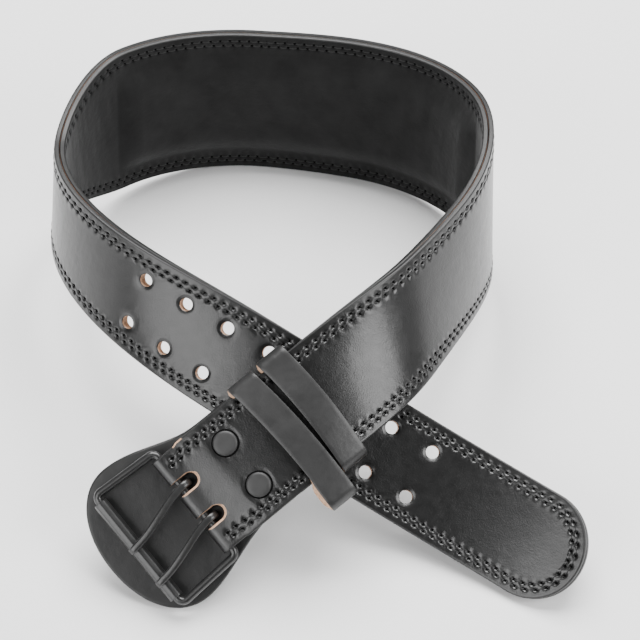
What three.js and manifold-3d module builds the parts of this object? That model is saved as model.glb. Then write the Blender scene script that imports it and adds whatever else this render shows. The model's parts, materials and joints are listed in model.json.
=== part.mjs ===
// A leather weightlifting belt, unfastened, lying in a loop with its two straps crossed.
// Millimetres, +Z up. The belt stands on its lower edges on the plane z = 0.
//
// Every leather piece is first laid out flat: s runs along the belt from the back towards the buckle
// (negative towards the tongue), w runs across it towards the lower edge, and h is the height over the
// plane between the two plies, positive on the outside. The course then bends the flat layout in space.
import * as THREE from 'three';
import { mergeVertices } from 'three/addons/utils/BufferGeometryUtils.js';
import Module from 'manifold-3d';

const wasm = await Module();
wasm.setup();

// Lengths along the leather, from the start of the course in the back
const tongueReach = 610;
const buckleReach = 501;

// Widths across the leather
const backWidth = 108;
const tongueWidth = 65;
const buckleStrapWidth = 69;

// Thicknesses and the clearances between leather pieces
const outerLeather = 3.3;
const liningLeather = 3.3;
const plyGap = 0.3;
const edgeRound = 0.9;

// Back pad on the inside
const padRise = 6;
const padMargin = 15;
const padEdge = 16;

// Punched holes in the tongue strap
const holeRadius = 4;
const holePairs = 8;
const holePitch = 28.4;
const holeRowsApart = 31;
const firstHolePair = 299;

// Buckle end of the strap: the fold, its slots and the rivets
const foldSetback = 9;
const barPlay = 0.5;
const tailLength = 52;
const tailRise = 14;
const foldNarrowing = 0.8;
const slotWidth = 9.2;
const slotLength = 11.8;
const rivetSetback = 36;
const rivetHeadRadius = 7.3;
const rivetHeadHeight = 1.5;
const rivetBackRadius = 5.8;
const rivetShankRadius = 2;
const rivetPlay = 0.3;

// Buckle metal
const frameWire = 2.5;
const frameReach = 43;
const frameSidePlay = 1.3;
const frameSpread = 1.9;
const frameCorner = 4;
const rollerRadius = 4.5;
const rollerBore = 3;
const rollerEndPlay = 0.8;
const prongWire = 1.9;
const prongsApart = 24.5;
const prongSkew = 10.4;
const prongArch = 1.4;
const prongOverhang = 3.6;
const prongTipFall = 1;

// Guard flap under the buckle
const flapLeather = 3.6;
const flapNeckWidth = 69.6;
const flapWidth = 97;
const flapSideShift = 1.3;
const flapFlareSetback = 30;
const flapBeyondRoller = 21;
const flapRoundLength = 34;
const flapFullness = 2.1;
const flapDrop = 1;

// Keeper loops round the buckle strap. crown: rise of the front, bow: how far the loop bows along the
// strap at half a strap's width from the line at bowAt across the strap
const keeperLeather = 2.8;
const keeperWidth = 17.6;
const keeperCorner = 5.4;
const keeperPlay = 0.7;
const frontKeeperSlack = { upper: 2, lower: 17.6, crown: 2.2, bow: 1.2, bowAt: 28 };
const rearKeeperSlack = { upper: 3.2, lower: 4.2, crown: 3.4, bow: 1.3, bowAt: 3 };
const keeperSetback = 60.8;
const keeperSpacing = 2.1;

// Free height between the two straps where they cross, beside the keeper's underside
const crossingPlay = 0.9;

// The course of each half. at: share of that half's length, turn: degrees from the line of the back,
// lean: degrees that the outer face tips up from upright.
const tongueCourse = [
  { at: 0, turn: -5, lean: -9 },
  { at: 0.125, turn: 26, lean: -8 },
  { at: 0.25, turn: 70, lean: -1 },
  { at: 0.375, turn: 116, lean: 15 },
  { at: 0.5, turn: 142, lean: 33 },
  { at: 0.625, turn: 151, lean: 55 },
  { at: 0.75, turn: 156, lean: 63 },
  { at: 0.875, turn: 149, lean: 60 },
  { at: 1, turn: 139, lean: 52 },
];
const buckleCourse = [
  { at: 0, turn: 5, lean: -9 },
  { at: 0.125, turn: 16, lean: -11 },
  { at: 0.25, turn: 45, lean: -9 },
  { at: 0.375, turn: 87, lean: 1 },
  { at: 0.5, turn: 117, lean: 13 },
  { at: 0.625, turn: 126, lean: 32 },
  { at: 0.75, turn: 140, lean: 56 },
  { at: 0.875, turn: 147, lean: 65 },
  { at: 1, turn: 148, lean: 61 },
];
const tongueClimb = 1.7;
const courseSteps = 120;

// Stretches where the two straps may pass closest, as shares of each half's length
const crossingStretch = { tongueFrom: 0.45, tongueTo: 0.95, buckleFrom: 0.6, buckleTo: 0.97, step: 0.01 };
const steepestClimb = 12;

// Where each half narrows, and where the pad ends, as shares of that half's length
const tongueTaper = { from: 0.16, to: 0.295 };
const buckleTaper = { from: 0.31, to: 0.64 };
const padEnds = { tongue: 0.172, buckle: 0.335 };

// Mesh fineness
const stationStep = 15;
const tipSteps = 6;
const wireSides = 8;
const roundSides = 16;
const holeSides = 10;
const slotEndSteps = 6;
const flapEndShares = [0.35, 0.6, 0.8, 0.92, 0.98, 1];
const cutDepth = 20;

const radians = THREE.MathUtils.degToRad;
const foldInner = frameWire + barPlay;
const foldOuter = foldInner + outerLeather;
const foldEnd = buckleReach - foldSetback + foldOuter;
const barStation = foldEnd - foldOuter;
const barHeight = plyGap / 2 - foldInner;
const outerTop = plyGap / 2 + outerLeather;
const liningBottom = -plyGap / 2 - liningLeather;
const tailStation = barStation - tailLength;

// Course

function rowValue(rows, key, share) {
  const last = rows.length - 1;
  const place = THREE.MathUtils.clamp(share, 0, 1);
  let index = 0;
  while (index < last - 1 && rows[index + 1].at <= place) index += 1;
  const value = (n) => {
    if (n < 0) return 2 * rows[0][key] - rows[1][key];
    if (n > last) return 2 * rows[last][key] - rows[last - 1][key];
    return rows[n][key];
  };
  const part = (place - rows[index].at) / (rows[index + 1].at - rows[index].at);
  const [a, b, c, d] = [index - 1, index, index + 1, index + 2].map(value);
  const slope = c - a;
  const bend = 2 * a - 5 * b + 4 * c - d;
  return b + 0.5 * part * (slope + part * (bend + part * (3 * (b - c) + d - a)));
}

// Walks one half outwards from the back. Leather doesn't bend in its own plane, so its climb follows
// from how it turns and leans. side is 1 for the buckle half and -1 for the tongue half.
function walkHalf(rows, length, side, startClimb) {
  const stations = [];
  const place = new THREE.Vector3();
  let climb = radians(startClimb);
  let lastTurn = radians(rows[0].turn);
  let lastAhead = null;
  for (let i = 0; i <= courseSteps; i += 1) {
    const share = i / courseSteps;
    const turn = radians(rowValue(rows, 'turn', share));
    const lean = radians(rowValue(rows, 'lean', share));
    const leanBefore = radians(rowValue(rows, 'lean', share - 0.5 / courseSteps));
    climb -= (turn - lastTurn) * Math.cos(climb) * Math.tan(leanBefore);
    const heading = side > 0 ? -turn : Math.PI + turn;
    const ahead = new THREE.Vector3(
      Math.cos(climb) * Math.cos(heading), Math.cos(climb) * Math.sin(heading), Math.sin(climb));
    const rise = new THREE.Vector3(
      -Math.sin(climb) * Math.cos(heading), -Math.sin(climb) * Math.sin(heading), Math.cos(climb));
    const outward = new THREE.Vector3().crossVectors(rise, ahead).multiplyScalar(side);
    const normal = outward.clone().multiplyScalar(Math.cos(lean)).addScaledVector(rise, Math.sin(lean));
    const across = outward.clone().multiplyScalar(Math.sin(lean)).addScaledVector(rise, -Math.cos(lean));
    if (lastAhead) {
      const middle = lastAhead.clone().add(ahead).normalize();
      place.addScaledVector(middle, length / courseSteps);
    }
    stations.push({ s: side * share * length, place: place.clone(), along: ahead.clone().multiplyScalar(side),
      across, normal });
    lastTurn = turn;
    lastAhead = ahead;
  }
  return stations;
}

function stationAt(half, length, distance) {
  const position = THREE.MathUtils.clamp(distance / length, 0, 1) * courseSteps;
  const index = Math.min(Math.floor(position), courseSteps - 1);
  const part = position - index;
  const [a, b] = [half[index], half[index + 1]];
  const along = a.along.clone().lerp(b.along, part).normalize();
  const across = a.across.clone().lerp(b.across, part);
  across.addScaledVector(along, -across.dot(along)).normalize();
  const place = a.place.clone().lerp(b.place, part);
  const beyond = Math.max(distance - length, 0) * Math.sign(half[1].s);
  place.addScaledVector(along, beyond);
  return { place, along, across, normal: new THREE.Vector3().crossVectors(along, across) };
}

function widthAt(s) {
  const narrow = s < 0 ? tongueWidth : buckleStrapWidth;
  const share = s < 0 ? -s / tongueReach : s / buckleReach;
  const taper = s < 0 ? tongueTaper : buckleTaper;
  return backWidth + (narrow - backWidth) * THREE.MathUtils.smoothstep(share, taper.from, taper.to);
}

// Smallest height of the buckle strap's middle plane over the tongue strap's, where they cross
function crossingHeight(tongueHalf, buckleHalf) {
  let least = Infinity;
  const { tongueFrom, tongueTo, buckleFrom, buckleTo, step } = crossingStretch;
  for (let share = buckleFrom; share <= buckleTo; share += step) {
    const strap = stationAt(buckleHalf, buckleReach, share * buckleReach);
    for (const edge of [-1, -0.5, 0, 0.5, 1]) {
      const point = strap.place.clone().addScaledVector(strap.across, edge * buckleStrapWidth / 2);
      for (let i = Math.round(tongueFrom * courseSteps); i < tongueTo * courseSteps; i += 1) {
        const station = tongueHalf[i];
        const offset = point.clone().sub(station.place);
        const near = Math.abs(offset.dot(station.along)) < tongueReach / courseSteps;
        const over = Math.abs(offset.dot(station.across)) < tongueWidth / 2 + keeperLeather;
        if (near && over) least = Math.min(least, offset.dot(station.normal));
      }
    }
  }
  return least;
}

// The buckle half climbs from the back just as much as lets it pass over the tongue strap
function layCourse() {
  const strapThickness = outerTop - liningBottom;
  const passHeight = strapThickness + keeperLeather + 2 * keeperPlay + crossingPlay;
  const tongueHalf = walkHalf(tongueCourse, tongueReach, -1, tongueClimb);
  let low = -steepestClimb;
  let high = steepestClimb;
  for (let i = 0; i < 24; i += 1) {
    const middle = (low + high) / 2;
    const height = crossingHeight(tongueHalf, walkHalf(buckleCourse, buckleReach, 1, middle));
    if (height > passHeight) high = middle;
    else low = middle;
  }
  return { tongueHalf, buckleHalf: walkHalf(buckleCourse, buckleReach, 1, high) };
}

const course = layCourse();

function frameAt(s) {
  if (s < 0) return stationAt(course.tongueHalf, tongueReach, -s);
  return stationAt(course.buckleHalf, buckleReach, s);
}

function onCourse(s, w, h) {
  const frame = frameAt(s);
  return frame.place.clone().addScaledVector(frame.across, w).addScaledVector(frame.normal, h);
}

// Meshes

// A closed body through rings of equal point counts. A closed path joins the last ring to the first,
// and an open one is capped at both ends. Where turned(j) holds, the other diagonal splits the side j.
function bodyThrough(rings, closedPath = false, turned = () => false) {
  const positions = [];
  for (const ring of rings) for (const point of ring) positions.push(point.x, point.y, point.z);
  const count = rings[0].length;
  const triangles = [];
  const spans = closedPath ? rings.length : rings.length - 1;
  for (let i = 0; i < spans; i += 1) {
    const near = i * count;
    const far = ((i + 1) % rings.length) * count;
    for (let j = 0; j < count; j += 1) {
      const next = (j + 1) % count;
      if (turned(j)) triangles.push([near + j, near + next, far + j], [near + next, far + next, far + j]);
      else triangles.push([near + j, near + next, far + next], [near + j, far + next, far + j]);
    }
  }
  if (!closedPath) {
    const end = (rings.length - 1) * count;
    for (let j = 1; j < count - 1; j += 1) {
      triangles.push([0, j + 1, j], [end, end + j, end + j + 1]);
    }
  }
  return closedGeometry(positions, triangles);
}

function closedGeometry(positions, triangles) {
  const loose = new THREE.BufferGeometry();
  loose.setAttribute('position', new THREE.Float32BufferAttribute(positions, 3));
  loose.setIndex(triangles.flat());
  const merged = mergeVertices(loose, 1e-4);
  const index = merged.index.array;
  const kept = [];
  for (let i = 0; i < index.length; i += 3) {
    const [a, b, c] = [index[i], index[i + 1], index[i + 2]];
    if (a !== b && b !== c && c !== a) kept.push([a, b, c]);
  }
  const position = merged.attributes.position;
  const corner = (n) => new THREE.Vector3().fromBufferAttribute(position, n);
  let volume = 0;
  for (const [a, b, c] of kept) volume += corner(a).dot(corner(b).cross(corner(c)));
  merged.setIndex(volume > 0 ? kept.flat() : kept.map(([a, b, c]) => [a, c, b]).flat());
  return merged;
}

function toSolid(geometry) {
  const clean = geometry.clone();
  for (const name of Object.keys(clean.attributes)) if (name !== 'position') clean.deleteAttribute(name);
  const merged = mergeVertices(clean, 1e-4);
  return new wasm.Manifold(new wasm.Mesh({
    numProp: 3,
    vertProperties: new Float32Array(merged.attributes.position.array),
    triVerts: new Uint32Array(merged.index.array),
  }));
}

function fromSolid(solid) {
  const mesh = solid.getMesh();
  const geometry = new THREE.BufferGeometry();
  geometry.setAttribute('position', new THREE.Float32BufferAttribute(mesh.vertProperties, 3));
  geometry.setIndex([...mesh.triVerts]);
  return geometry;
}

function cutAll(geometry, cutters) {
  let solid = toSolid(geometry);
  for (const cutter of cutters) solid = solid.subtract(toSolid(cutter));
  return fromSolid(solid);
}

// Stations along the flat layout, closer together in the round end of the tongue
function stationsBetween(from, to) {
  const count = Math.max(1, Math.round((to - from) / stationStep));
  return Array.from({ length: count + 1 }, (_, i) => from + (to - from) * i / count);
}

function runStations() {
  const radius = tongueWidth / 2;
  const tip = Array.from({ length: tipSteps }, (_, i) => {
    const angle = i / tipSteps * Math.PI / 2;
    return { s: -tongueReach + radius * (1 - Math.cos(angle)), half: radius * Math.sin(angle) };
  });
  const straight = stationsBetween(radius - tongueReach, tailStation - plyGap);
  return [...tip, ...straight.map((s) => ({ s, half: widthAt(s) / 2 }))];
}

const acrossShares = [-1, -0.5, 0, 0.5, 1];

// The outline of a ply across the belt, as [w, share of thickness] with softened corners
function plySection(half, thickness, insideRows) {
  const soft = Math.min(edgeRound, half / 2);
  const softShare = edgeRound / thickness;
  const flat = half - soft;
  const section = acrossShares.map((share) => [share * flat, 1]);
  section.push([half, 1 - softShare], [half, softShare]);
  for (const share of [...insideRows].reverse()) section.push([share * flat, 0]);
  section.push([-half, softShare], [-half, 1 - softShare]);
  return section;
}

// Facing plies split their facets alike, so that the gap between them stays even where they twist
function plyBody(rings, section) {
  return bodyThrough(rings, false, (j) => section[j][0] > section[(j + 1) % section.length][0]);
}

// Outer strap: the main run, the fold round the buckle's bar, and the tail riveted underneath

function foldPath() {
  const turns = 6;
  const path = [];
  for (let i = 0; i <= turns; i += 1) {
    const angle = Math.PI / 2 - i / turns * Math.PI;
    path.push({
      s: barStation + foldInner * Math.cos(angle),
      h: barHeight + foldInner * Math.sin(angle),
      outward: [Math.cos(angle), Math.sin(angle)],
    });
  }
  const foldBottom = barHeight - foldInner;
  const risen = -plyGap / 2;
  const rises = 4;
  for (let i = 1; i <= rises; i += 1) {
    const share = i / rises;
    const lift = THREE.MathUtils.smoothstep(share, 0, 1);
    const steepness = 6 * share * (1 - share) * (risen - foldBottom) / tailRise;
    const slant = Math.atan(steepness);
    path.push({
      s: barStation - share * tailRise,
      h: foldBottom + lift * (risen - foldBottom),
      outward: [-Math.sin(slant), -Math.cos(slant)],
    });
  }
  for (const s of stationsBetween(tailStation, barStation - tailRise).reverse().slice(1)) {
    path.push({ s, h: risen, outward: [0, -1] });
  }
  return path;
}

function outerStrap() {
  const rings = [];
  const end = stationsBetween(tailStation - plyGap, barStation - slotLength).slice(1);
  const stations = [...runStations(), ...end.map((s) => ({ s, half: widthAt(s) / 2 }))];
  for (const { s, half } of stations) {
    const section = plySection(half, outerLeather, acrossShares);
    rings.push(section.map(([w, share]) => onCourse(s, w, plyGap / 2 + share * outerLeather)));
  }
  const half = buckleStrapWidth / 2 - foldNarrowing;
  const section = plySection(half, outerLeather, acrossShares);
  const foldStart = { s: barStation - slotLength + foldNarrowing, h: plyGap / 2, outward: [0, 1] };
  for (const step of [foldStart, ...foldPath()]) {
    rings.push(section.map(([w, share]) => onCourse(
      step.s + step.outward[0] * share * outerLeather, w, step.h + step.outward[1] * share * outerLeather)));
  }
  const cutters = [...holePlugs(), ...slotPlugs(), ...rivetPlugs()];
  return cutAll(plyBody(rings, section), cutters);
}

// Lining: the inner ply, with the pad raised on its inner face

function padHeight(s, w) {
  const tongueEnd = padEnds.tongue * tongueReach;
  const buckleEnd = padEnds.buckle * buckleReach;
  const fromEnd = Math.min(s + tongueEnd, buckleEnd - s);
  const fromEdge = backWidth / 2 - padMargin - Math.abs(w);
  const rise = (distance) => Math.sqrt(THREE.MathUtils.smoothstep(distance, 0, padEdge));
  return padRise * rise(fromEnd) * rise(fromEdge);
}

const padShares = [-1, -0.73, -0.6, -0.42, 0, 0.42, 0.6, 0.73, 1];

function liningStrap() {
  const rings = runStations().map(({ s, half }) => {
    const section = plySection(half, liningLeather, padShares);
    return section.map(([w, share]) => onCourse(
      s, w, liningBottom + share * liningLeather - (share === 0 ? padHeight(s, w) : 0)));
  });
  return cutAll(plyBody(rings, plySection(1, liningLeather, padShares)), holePlugs());
}

// Plugs that cut the punched holes, the prong slots and the rivet holes

function plugOnCourse(outline, bottom, top) {
  const rings = [bottom, top].map((h) => outline.map(([s, w]) => onCourse(s, w, h)));
  return bodyThrough(rings);
}

function circle(s, w, radius, sides) {
  return Array.from({ length: sides }, (_, i) => {
    const angle = (i + 0.5) / sides * 2 * Math.PI;
    return [s + radius * Math.cos(angle), w + radius * Math.sin(angle)];
  });
}

function holePlugs() {
  const plugs = [];
  for (let pair = 0; pair < holePairs; pair += 1) {
    const s = -firstHolePair - pair * holePitch;
    for (const w of [-holeRowsApart / 2, holeRowsApart / 2]) {
      plugs.push(plugOnCourse(circle(s, w, holeRadius, holeSides), -cutDepth, cutDepth));
    }
  }
  return plugs;
}

function slotPlugs() {
  return [-prongsApart / 2, prongsApart / 2].map((w) => {
    const radius = slotWidth / 2;
    const inner = barStation - slotLength + radius + foldNarrowing;
    const arc = Array.from({ length: slotEndSteps + 1 }, (_, i) => {
      const angle = Math.PI / 2 + i / slotEndSteps * Math.PI;
      return [inner + radius * Math.cos(angle), w + radius * Math.sin(angle)];
    });
    return plugOnCourse([...arc, [foldEnd + foldOuter, w - radius], [foldEnd + foldOuter, w + radius]],
      -cutDepth, cutDepth);
  });
}

const rivetStation = barStation - rivetSetback;
const rivetRows = [-holeRowsApart / 2, holeRowsApart / 2];

function rivetPlugs() {
  return rivetRows.map((w) => plugOnCourse(
    circle(rivetStation, w, rivetShankRadius + rivetPlay, wireSides), -cutDepth, cutDepth));
}

// Guard flap: starts under the tail, dips under the fold and widens to a round end past the roller

const flapStart = tailStation + plyGap;
const flapEnd = barStation + frameReach + flapBeyondRoller;
const flapFlareStart = barStation - flapFlareSetback;
const flapTopAtTail = -plyGap / 2 - outerLeather - plyGap;
const flapTopAtBuckle = barHeight - foldOuter - flapDrop;
const dipStart = rivetStation + rivetHeadRadius + plyGap;
const dipEnd = barStation - tailRise;

function flapHalf(s) {
  const shoulder = flapEnd - flapRoundLength;
  const wide = flapWidth / 2;
  if (s > shoulder) {
    const share = (s - shoulder) / flapRoundLength;
    return wide * (1 - share ** flapFullness) ** (1 / flapFullness);
  }
  const neck = flapNeckWidth / 2;
  return neck + (wide - neck) * THREE.MathUtils.smoothstep(s, flapFlareStart, shoulder);
}

function guardFlap() {
  const shoulder = flapEnd - flapRoundLength;
  const run = [...stationsBetween(flapStart, dipStart), ...stationsBetween(dipStart, dipEnd).slice(1),
    ...stationsBetween(dipEnd, shoulder).slice(1)];
  const stations = [...run, ...flapEndShares.map((share) => shoulder + share * flapRoundLength)];
  const rings = stations.map((s) => {
    const dip = THREE.MathUtils.smoothstep(s, dipStart, dipEnd);
    const top = flapTopAtTail + (flapTopAtBuckle - flapTopAtTail) * dip;
    const section = plySection(flapHalf(s), flapLeather, acrossShares);
    return section.map(([w, share]) => onCourse(s, w - flapSideShift, top - (1 - share) * flapLeather));
  });
  return cutAll(plyBody(rings, plySection(1, flapLeather, acrossShares)), rivetPlugs());
}

// Keepers: closed leather loops round the buckle strap

function keeperOutline(slack, grow) {
  const strapHalf = buckleStrapWidth / 2;
  const upper = -strapHalf - slack.upper - grow;
  const lower = strapHalf + slack.lower + grow;
  const top = outerTop + keeperPlay + grow;
  const bottom = liningBottom - keeperPlay - grow;
  const radius = Math.min(keeperCorner + grow, (top - bottom) / 2);
  const corners = [
    [lower - radius, top - radius, 0], [upper + radius, top - radius, 1],
    [upper + radius, bottom + radius, 2], [lower - radius, bottom + radius, 3],
  ];
  const outline = [];
  for (const [w, h, quarter] of corners) {
    for (const share of [0, 0.5, 1]) {
      const angle = (quarter + share) * Math.PI / 2;
      outline.push([w + radius * Math.cos(angle), h + radius * Math.sin(angle)]);
    }
    if (quarter === 0) {
      for (const share of [0.25, 0.5, 0.75]) {
        const place = lower - radius + (upper - lower + 2 * radius) * share;
        outline.push([place, top + slack.crown * Math.sin(share * Math.PI)]);
      }
    }
  }
  return outline;
}

function keeper(from, slack) {
  const edges = [from, from + keeperWidth / 2, from + keeperWidth];
  const outer = keeperOutline(slack, keeperLeather);
  const inner = keeperOutline(slack, 0);
  const bowed = (w) => slack.bow * ((w - slack.bowAt) / (buckleStrapWidth / 2)) ** 2;
  const wall = (s, outline) => outline.map(([w, h]) => onCourse(s + bowed(w), w, h));
  // The loop's section runs along the outside and back along the inside
  const rings = outer.map((_, i) => [
    ...edges.map((s) => wall(s, outer)[i]),
    ...[...edges].reverse().map((s) => wall(s, inner)[i]),
  ]);
  return bodyThrough(rings, true);
}

// Buckle metal, in the bar's own frame: x along the strap, y across it, z out of its outer face

const frameHalf = buckleStrapWidth / 2 + frameSidePlay + frameWire;
const frameOuterHalf = frameHalf + frameSpread;

// A round wire along a path of points, closed or with capped ends
function wire(points, radius, closedPath = false) {
  const count = points.length;
  const rings = points.map((point, i) => {
    const before = points[closedPath ? (i + count - 1) % count : Math.max(i - 1, 0)];
    const after = points[closedPath ? (i + 1) % count : Math.min(i + 1, count - 1)];
    const forward = after.clone().sub(before).normalize();
    const side = new THREE.Vector3(0, 1, 0);
    if (Math.abs(forward.y) > 0.7 || closedPath) side.set(0, 0, 1);
    side.addScaledVector(forward, -side.dot(forward)).normalize();
    const up = new THREE.Vector3().crossVectors(forward, side);
    return Array.from({ length: wireSides }, (_, j) => {
      const angle = (j + 0.5) / wireSides * 2 * Math.PI;
      return point.clone().addScaledVector(side, radius * Math.cos(angle))
        .addScaledVector(up, radius * Math.sin(angle));
    });
  });
  return bodyThrough(rings, closedPath);
}

function buckleFrame() {
  const points = [];
  const corners = [
    [frameReach - frameCorner, frameOuterHalf - frameCorner], [frameCorner, frameHalf - frameCorner],
    [frameCorner, frameCorner - frameHalf], [frameReach - frameCorner, frameCorner - frameOuterHalf],
  ];
  corners.forEach(([x, y], quarter) => {
    for (const share of [0, 1 / 3, 2 / 3, 1]) {
      const angle = (quarter + share) * Math.PI / 2;
      points.push(new THREE.Vector3(x + frameCorner * Math.cos(angle), y + frameCorner * Math.sin(angle), 0));
    }
  });
  return wire(points, frameWire, true);
}

function roller() {
  const half = frameOuterHalf - frameCorner - rollerEndPlay;
  const ring = (radius, y) => Array.from({ length: roundSides }, (_, i) => {
    const angle = i / roundSides * 2 * Math.PI;
    return new THREE.Vector3(radius * Math.cos(angle), y, radius * Math.sin(angle));
  });
  const walls = [ring(rollerRadius, -half), ring(rollerRadius, half), ring(rollerBore, half),
    ring(rollerBore, -half)];
  return bodyThrough(walls, true);
}

// A prong: an open eye that starts in front of the bar and goes under and behind it to its top, then an
// arch past the roller. Half of the arch's skew lies in one bend.
const prongEyeSweep = { from: 355, to: 90 };
const prongBend = { from: 0, to: 0.9 };

function prong() {
  const eye = frameWire + barPlay + prongWire;
  const points = [];
  const eyeSteps = 9;
  for (let i = 0; i < eyeSteps; i += 1) {
    const angle = radians(prongEyeSweep.from + i / (eyeSteps - 1) * (prongEyeSweep.to - prongEyeSweep.from));
    points.push(new THREE.Vector3(eye * Math.cos(angle), 0, eye * Math.sin(angle)));
  }
  const rest = rollerRadius + barPlay + prongWire;
  const runSteps = 7;
  for (let i = 1; i <= runSteps; i += 1) {
    const share = i / runSteps;
    const height = eye + (rest - eye) * share + prongArch * Math.sin(share * Math.PI);
    const skewed = (share + THREE.MathUtils.smoothstep(share, prongBend.from, prongBend.to)) / 2;
    points.push(new THREE.Vector3(share * frameReach, skewed * prongSkew, height));
  }
  points.push(new THREE.Vector3(frameReach + prongOverhang, prongSkew * (1 + prongOverhang / frameReach),
    rest - prongTipFall));
  return wire(points, prongWire);
}

// The dome of a rivet's head, as shares of its radius and height
const rivetDome = [
  { out: 1, up: 0 },
  { out: 1, up: 0.45 },
  { out: 0.86, up: 0.85 },
  { out: 0.5, up: 1 },
  { out: 0, up: 1 },
];

// Rivet: a low domed head on the outer face, a shank through the plies and a flat head underneath
function rivet() {
  const headBase = outerTop + plyGap;
  const backBase = flapTopAtTail - flapLeather - plyGap;
  const shank = [
    new THREE.Vector2(0, backBase - rivetHeadHeight), new THREE.Vector2(rivetBackRadius, backBase - rivetHeadHeight),
    new THREE.Vector2(rivetBackRadius, backBase), new THREE.Vector2(rivetShankRadius, backBase),
    new THREE.Vector2(rivetShankRadius, headBase),
  ];
  const head = rivetDome.map(({ out, up }) => (
    new THREE.Vector2(out * rivetHeadRadius, headBase + up * rivetHeadHeight)));
  const turned = new THREE.LatheGeometry([...shank, ...head], roundSides);
  return closedFromLathe(turned);
}

function closedFromLathe(geometry) {
  const position = geometry.attributes.position.array;
  const index = geometry.index.array;
  const triangles = [];
  for (let i = 0; i < index.length; i += 3) triangles.push([index[i], index[i + 1], index[i + 2]]);
  return closedGeometry([...position], triangles);
}

// Materials

const finish = (color, roughness, metalness) => new THREE.MeshStandardMaterial({ color, roughness, metalness });
const finishes = {
  outer: finish(0x1b1c1c, 0.3, 0),
  lining: finish(0x101112, 0.85, 0),
  flap: finish(0x1e1f20, 0.5, 0),
  keeper: finish(0x232525, 0.42, 0),
  paint: finish(0x222324, 0.4, 0.3),
};

// Assembly

function place(name, geometry, material) {
  const mesh = new THREE.Mesh(geometry, material);
  mesh.name = name;
  mesh.geometry.computeVertexNormals();
  return mesh;
}

// A group whose x, y and z run along the strap, across it and out of its face
function groupOnStrap(s, w, h) {
  const frame = frameAt(s);
  const group = new THREE.Group();
  group.position.copy(onCourse(s, w, h));
  group.quaternion.setFromRotationMatrix(new THREE.Matrix4().makeBasis(frame.along, frame.across, frame.normal));
  return group;
}

const belt = new THREE.Group();
belt.add(place('outer_strap', outerStrap(), finishes.outer));
belt.add(place('lining_strap', liningStrap(), finishes.lining));
belt.add(place('guard_flap', guardFlap(), finishes.flap));

const frontKeeperStart = barStation - keeperSetback - keeperWidth;
belt.add(place('keeper_front', keeper(frontKeeperStart, frontKeeperSlack), finishes.keeper));
belt.add(place('keeper_rear', keeper(frontKeeperStart - keeperSpacing - keeperWidth, rearKeeperSlack),
  finishes.keeper));

['rivet_upper', 'rivet_lower'].forEach((name, i) => {
  const group = groupOnStrap(rivetStation, rivetRows[i], 0);
  const mesh = place(name, rivet(), finishes.paint);
  mesh.rotation.x = Math.PI / 2;
  group.add(mesh);
  belt.add(group);
});

const buckle = groupOnStrap(barStation, 0, barHeight);
buckle.add(place('buckle_frame', buckleFrame(), finishes.paint));
const rollerMesh = place('roller', roller(), finishes.paint);
rollerMesh.position.set(frameReach, 0, 0);
buckle.add(rollerMesh);
['prong_upper', 'prong_lower'].forEach((name, i) => {
  const mesh = place(name, prong(), finishes.paint);
  mesh.position.set(0, (i - 0.5) * prongsApart, 0);
  buckle.add(mesh);
});
belt.add(buckle);

// The belt touches the ground at three places: the back's lower edge, the tongue's tip and the guard flap.
// It is tipped until the lowest points of the three lie level.
const tonguePlace = frameAt(-tongueReach).place;
const feet = [
  { nodes: ['outer_strap', 'lining_strap'], holds: (point) => point.y > -backWidth },
  { nodes: ['outer_strap', 'lining_strap'], holds: (point) => point.distanceTo(tonguePlace) < backWidth },
  { nodes: ['guard_flap'], holds: () => true },
];

function lowestPoint(foot) {
  let lowest = null;
  for (const name of foot.nodes) {
    const position = belt.getObjectByName(name).geometry.attributes.position;
    for (let i = 0; i < position.count; i += 1) {
      const point = new THREE.Vector3().fromBufferAttribute(position, i);
      if (!foot.holds(point)) continue;
      point.applyQuaternion(belt.quaternion);
      if (!lowest || point.z < lowest.z) lowest = point;
    }
  }
  return lowest;
}

const settlingRounds = 5;
for (let i = 0; i < settlingRounds; i += 1) {
  const [back, tip, flap] = feet.map(lowestPoint);
  const level = new THREE.Vector3().crossVectors(flap.sub(back), tip.sub(back)).normalize();
  if (level.z < 0) level.negate();
  belt.quaternion.premultiply(new THREE.Quaternion().setFromUnitVectors(level, new THREE.Vector3(0, 0, 1)));
}

// The ground is the plane z = 0, and the origin lies under the middle of the belt's outline
belt.updateMatrixWorld(true);
const bounds = new THREE.Box3().setFromObject(belt, true);
const middle = bounds.getCenter(new THREE.Vector3());
belt.position.set(-middle.x, -middle.y, -bounds.min.z);
belt.updateMatrixWorld(true);

export default belt;
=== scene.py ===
# Looks of the leather lifting belt: every CAD node is dressed with a finer piece in the same place.
#
# The belt's flat layout is the one that the solids follow: s runs along the belt from the back towards
# the buckle (negative towards the tongue), w runs across it towards the lower edge, and h is the height
# over the plane between the two plies, positive on the outside. All three are in millimetres.
import json
import math

import bmesh
import bpy
import numpy as np
from mathutils import Matrix, Vector

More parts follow.
